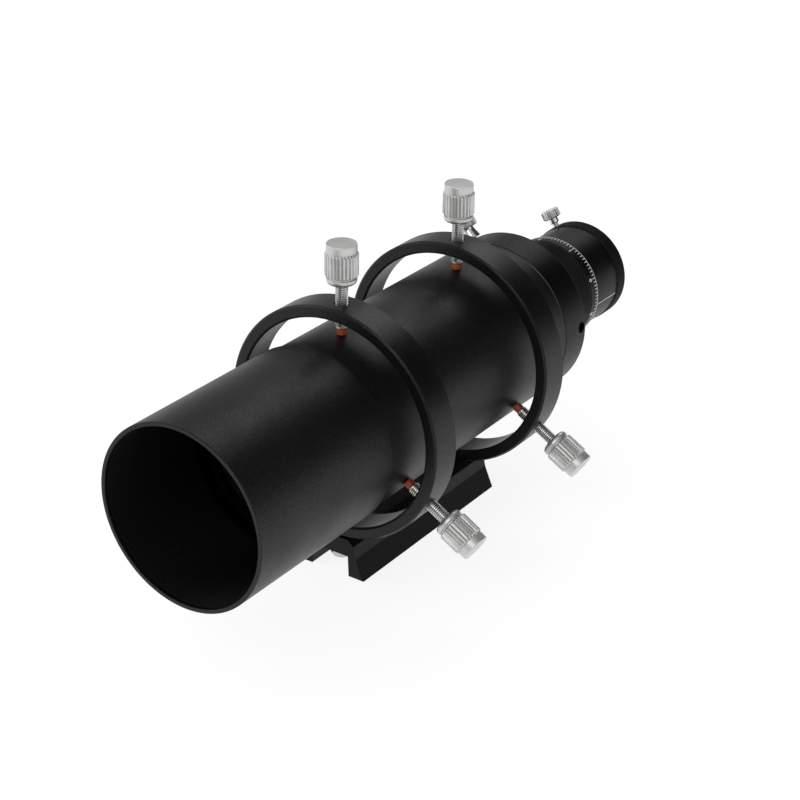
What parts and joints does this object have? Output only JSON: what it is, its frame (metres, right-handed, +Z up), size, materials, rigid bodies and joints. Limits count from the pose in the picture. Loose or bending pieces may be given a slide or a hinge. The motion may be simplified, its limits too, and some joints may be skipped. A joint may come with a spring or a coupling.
{
  "type": "finder scope",
  "caption": "Small refractor tube held by thumbscrews in two guide rings on a dovetail bar, with a helical focuser and a clamped eyepiece socket.",
  "frame": {"origin": "on the ground under the middle of the object's bounding box, level with the feet of the dovetail bar", "axes": "+Y along the optical axis from the objective to the eyepiece, +Z up, +X to the observer's left when looking from the eyepiece end towards the sky"},
  "size_m": [0.136, 0.291, 0.142],
  "materials": {
    "black_anodised": "satin black anodised over fine bead blasting",
    "interior_black": "matt black, ribbed against stray light",
    "optical_glass": "clear with an anti-reflection coating",
    "silver_knob": "satin silver, straight knurl",
    "thread_steel": "bright rolled thread",
    "orange_nylon": "orange-brown nylon",
    "bolt_steel": "plain steel",
    "polished_chrome": "polished, knurled head",
    "white_nylon": "natural nylon",
    "brass": "turned brass"
  },
  "bodies": {
    "scope_and_mount": {"dovetail_bar": "black_anodised", "front_ring": "black_anodised", "rear_ring": "black_anodised", "front_ring_bolt": "bolt_steel", "rear_ring_bolt": "bolt_steel", "dew_shield": "black_anodised", "main_tube": "black_anodised", "objective_cell": "interior_black", "lens_retaining_ring": "interior_black", "crown_lens": "optical_glass", "lens_spacer": "interior_black", "flint_lens": "optical_glass", "front_baffle": "interior_black", "rear_baffle": "interior_black", "rear_adapter": "black_anodised", "barrel_set_screw_right": "bolt_steel", "barrel_set_screw_left": "bolt_steel", "focuser_barrel": "interior_black", "focus_ring_clip": "bolt_steel"},
    "focus_ring": {"focus_ring": "black_anodised"},
    "eyepiece_holder": {"eyepiece_holder": "black_anodised", "guide_pin": "bolt_steel", "compression_ring": "brass"},
    "focus_lock_pad": {"focus_lock_pad": "white_nylon"},
    "focus_lock_screw": {"focus_lock_screw": "polished_chrome"},
    "eyepiece_lock_pad": {"eyepiece_lock_pad": "white_nylon"},
    "eyepiece_lock_screw": {"eyepiece_lock_screw": "polished_chrome"},
    "front_top_pad": {"front_top_pad": "orange_nylon"},
    "front_top_screw": {"front_top_stem": "thread_steel", "front_top_knob": "silver_knob"},
    "front_right_pad": {"front_right_pad": "orange_nylon"},
    "front_right_screw": {"front_right_stem": "thread_steel", "front_right_knob": "silver_knob"},
    "front_left_pad": {"front_left_pad": "orange_nylon"},
    "front_left_screw": {"front_left_stem": "thread_steel", "front_left_knob": "silver_knob"},
    "rear_top_pad": {"rear_top_pad": "orange_nylon"},
    "rear_top_screw": {"rear_top_stem": "thread_steel", "rear_top_knob": "silver_knob"},
    "rear_right_pad": {"rear_right_pad": "orange_nylon"},
    "rear_right_screw": {"rear_right_stem": "thread_steel", "rear_right_knob": "silver_knob"},
    "rear_left_pad": {"rear_left_pad": "orange_nylon"},
    "rear_left_screw": {"rear_left_stem": "thread_steel", "rear_left_knob": "silver_knob"}
  },
  "joints": [
    {"name": "focus_ring_turn", "type": "hinge", "parent": "scope_and_mount", "child": "focus_ring", "pos_m": [0, 0.1015, 0.0668], "axis": [0, 1, 0], "range_deg": [-163, 109]},
    {"name": "focus_travel", "type": "slide", "parent": "scope_and_mount", "child": "eyepiece_holder", "axis": [0, 1, 0], "range_m": [-0.009, 0.006]},
    {"name": "front_top_screw_travel", "type": "slide", "parent": "scope_and_mount", "child": "front_top_pad", "axis": [0, 0, 1], "range_m": [0, 0.0072]},
    {"name": "front_top_screw_turn", "type": "hinge", "parent": "front_top_pad", "child": "front_top_screw", "pos_m": [0, -0.0464, 0.1168], "axis": [0, 0, 1], "range_deg": [0, 3241]},
    {"name": "front_right_screw_travel", "type": "slide", "parent": "scope_and_mount", "child": "front_right_pad", "axis": [0.866, 0, -0.5], "range_m": [0, 0.0072]},
    {"name": "front_right_screw_turn", "type": "hinge", "parent": "front_right_pad", "child": "front_right_screw", "pos_m": [0.0433, -0.0464, 0.0418], "axis": [0.866, 0, -0.5], "range_deg": [0, 3241]},
    {"name": "front_left_screw_travel", "type": "slide", "parent": "scope_and_mount", "child": "front_left_pad", "axis": [-0.866, 0, -0.5], "range_m": [0, 0.0072]},
    {"name": "front_left_screw_turn", "type": "hinge", "parent": "front_left_pad", "child": "front_left_screw", "pos_m": [-0.0433, -0.0464, 0.0418], "axis": [-0.866, 0, -0.5], "range_deg": [0, 3241]},
    {"name": "rear_top_screw_travel", "type": "slide", "parent": "scope_and_mount", "child": "rear_top_pad", "axis": [0, 0, 1], "range_m": [0, 0.0072]},
    {"name": "rear_top_screw_turn", "type": "hinge", "parent": "rear_top_pad", "child": "rear_top_screw", "pos_m": [0, 0.0356, 0.1168], "axis": [0, 0, 1], "range_deg": [0, 3241]},
    {"name": "rear_right_screw_travel", "type": "slide", "parent": "scope_and_mount", "child": "rear_right_pad", "axis": [0.866, 0, -0.5], "range_m": [0, 0.0072]},
    {"name": "rear_right_screw_turn", "type": "hinge", "parent": "rear_right_pad", "child": "rear_right_screw", "pos_m": [0.0433, 0.0356, 0.0418], "axis": [0.866, 0, -0.5], "range_deg": [0, 3241]},
    {"name": "rear_left_screw_travel", "type": "slide", "parent": "scope_and_mount", "child": "rear_left_pad", "axis": [-0.866, 0, -0.5], "range_m": [0, 0.0072]},
    {"name": "rear_left_screw_turn", "type": "hinge", "parent": "rear_left_pad", "child": "rear_left_screw", "pos_m": [-0.0433, 0.0356, 0.0418], "axis": [-0.866, 0, -0.5], "range_deg": [0, 3241]},
    {"name": "focus_lock_travel", "type": "slide", "parent": "scope_and_mount", "child": "focus_lock_pad", "axis": [-0.5664, 0, 0.8241], "range_m": [0, 0.0021]},
    {"name": "focus_lock_turn", "type": "hinge", "parent": "focus_lock_pad", "child": "focus_lock_screw", "pos_m": [-0.02832, 0.081, 0.10801], "axis": [-0.5664, 0, 0.8241], "range_deg": [0, 1081]},
    {"name": "eyepiece_lock_travel", "type": "slide", "parent": "eyepiece_holder", "child": "eyepiece_lock_pad", "axis": [-0.5299, 0, 0.848], "range_m": [0, 0.002]},
    {"name": "eyepiece_lock_turn", "type": "hinge", "parent": "eyepiece_lock_pad", "child": "eyepiece_lock_screw", "pos_m": [-0.0265, 0.1409, 0.1092], "axis": [-0.5299, 0, 0.848], "range_deg": [0, 1441]}
  ],
  "couplings": [
    {"joint": "focus_ring_turn", "follows": "focus_travel", "rad_per_m": 314.16},
    {"joint": "front_top_screw_turn", "follows": "front_top_screw_travel", "rad_per_m": 7854},
    {"joint": "front_right_screw_turn", "follows": "front_right_screw_travel", "rad_per_m": 7854},
    {"joint": "front_left_screw_turn", "follows": "front_left_screw_travel", "rad_per_m": 7854},
    {"joint": "rear_top_screw_turn", "follows": "rear_top_screw_travel", "rad_per_m": 7854},
    {"joint": "rear_right_screw_turn", "follows": "rear_right_screw_travel", "rad_per_m": 7854},
    {"joint": "rear_left_screw_turn", "follows": "rear_left_screw_travel", "rad_per_m": 7854},
    {"joint": "focus_lock_turn", "follows": "focus_lock_travel", "rad_per_m": 8976},
    {"joint": "eyepiece_lock_turn", "follows": "eyepiece_lock_travel", "rad_per_m": 12566}
  ]
}
